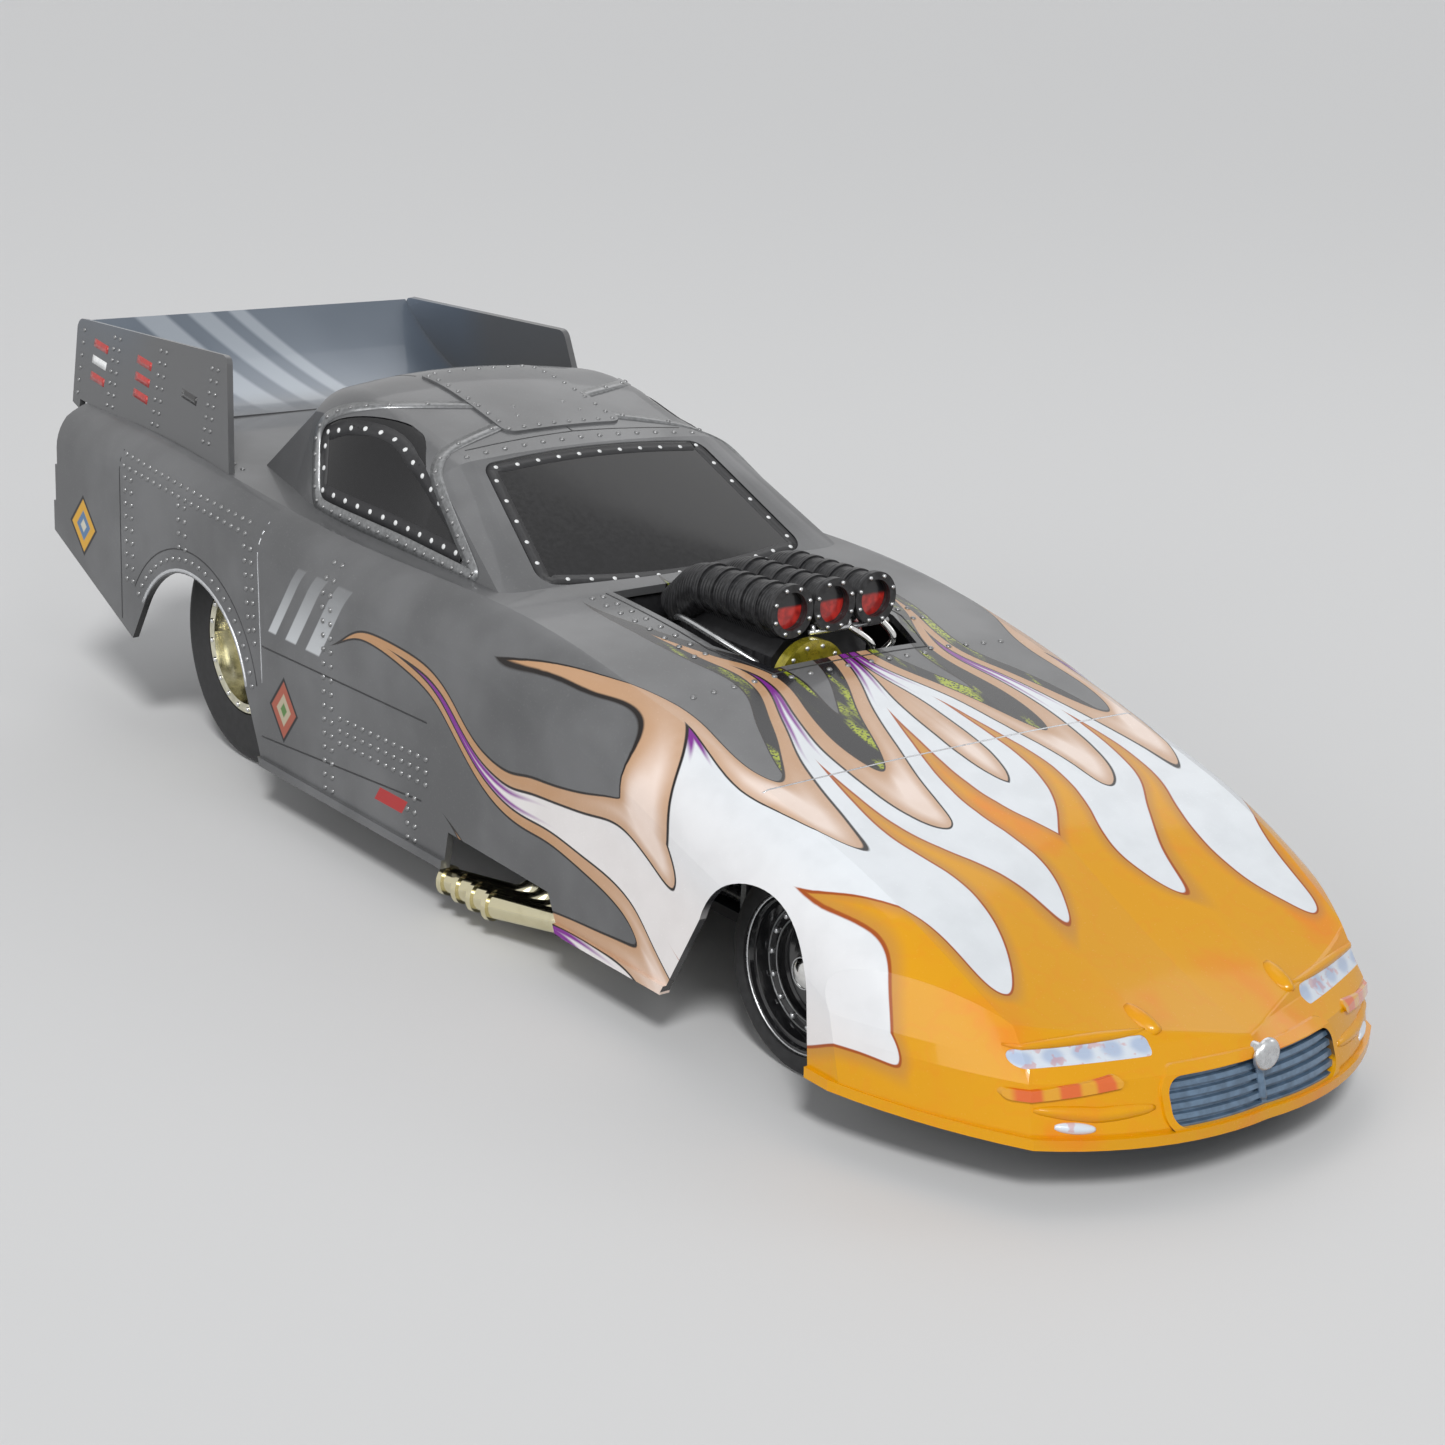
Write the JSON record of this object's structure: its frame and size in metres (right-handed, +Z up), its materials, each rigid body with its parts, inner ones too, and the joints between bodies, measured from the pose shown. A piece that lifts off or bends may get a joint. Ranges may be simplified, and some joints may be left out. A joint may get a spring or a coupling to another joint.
{
  "type": "1:24 model of a flip-top drag racing car",
  "caption": "Model drag racing car with a one-piece body hinged at the tail, tube chassis, front-mounted blown engine, rear wing and freely turning wheels.",
  "frame": {"origin": "on the floor, on the centre plane, midway between the front and rear axles", "axes": "+Z up, -Y towards the nose, +X towards the car's left side"},
  "size_m": [0.0768, 0.2306, 0.0635],
  "materials": {
    "body_paint": "satin metallic",
    "glass": "dark clear",
    "lamp_glass": "clear bluish",
    "grille_paint": "satin",
    "chrome": "polished",
    "gold_chrome": "polished, pale gold tint",
    "gold": "gloss",
    "aluminium": "satin",
    "frame_paint": "gloss black",
    "black_plastic": "matt",
    "black_gloss": "gloss",
    "red_plastic": "gloss",
    "tyre": "matt",
    "amber_plastic": "gloss"
  },
  "bodies": {
    "chassis": {"frame_rails": "frame_paint", "roll_cage": "frame_paint", "hinge_pin": "chrome", "floor_pan": "black_plastic", "front_axle": "chrome", "rear_axle_housing": "black_plastic", "engine_block": "aluminium", "valve_cover_left": "chrome", "valve_cover_right": "chrome", "blower": "black_plastic", "belt_guard": "gold", "injector_hat": "black_plastic", "butterflies": "red_plastic", "header_left": "gold_chrome", "header_right": "gold_chrome", "firewall": "aluminium", "seat": "black_plastic", "steering_yoke": "black_plastic", "fuel_tank": "aluminium", "parachute_pack_left": "black_plastic", "parachute_pack_right": "black_plastic", "wheelie_bar": "chrome"},
    "flip_body": {"body_shell": "body_paint", "windshield": "glass", "side_window_left": "glass", "side_window_right": "glass", "headlight_left": "lamp_glass", "headlight_right": "lamp_glass", "grille": "grille_paint", "marker_lamps": "amber_plastic", "nose_knob": "chrome", "spill_plate_left": "body_paint", "spill_plate_right": "body_paint", "spoiler_blade": "body_paint", "roof_hatch": "body_paint", "hinge_bracket_left": "frame_paint", "hinge_bracket_right": "frame_paint"},
    "front_wheel_left": {"front_tyre_left": "tyre", "front_rim_left": "black_gloss"},
    "front_wheel_right": {"front_tyre_right": "tyre", "front_rim_right": "black_gloss"},
    "rear_wheels": {"rear_axle_shaft": "chrome", "rear_tyre_left": "tyre", "rear_rim_left": "gold_chrome", "rear_tyre_right": "tyre", "rear_rim_right": "gold_chrome"}
  },
  "joints": [
    {"name": "body_lift", "type": "hinge", "parent": "chassis", "child": "flip_body", "pos_m": [0, 0.103, 0.027], "axis": [-1, 0, 0], "range_deg": [0, 35]},
    {"name": "front_left_spin", "type": "hinge", "parent": "chassis", "child": "front_wheel_left", "pos_m": [0.026, -0.066, 0.013], "axis": [1, 0, 0], "continuous": true},
    {"name": "front_right_spin", "type": "hinge", "parent": "chassis", "child": "front_wheel_right", "pos_m": [-0.026, -0.066, 0.013], "axis": [1, 0, 0], "continuous": true},
    {"name": "rear_axle_spin", "type": "hinge", "parent": "chassis", "child": "rear_wheels", "pos_m": [0, 0.066, 0.0186], "axis": [1, 0, 0], "continuous": true}
  ]
}
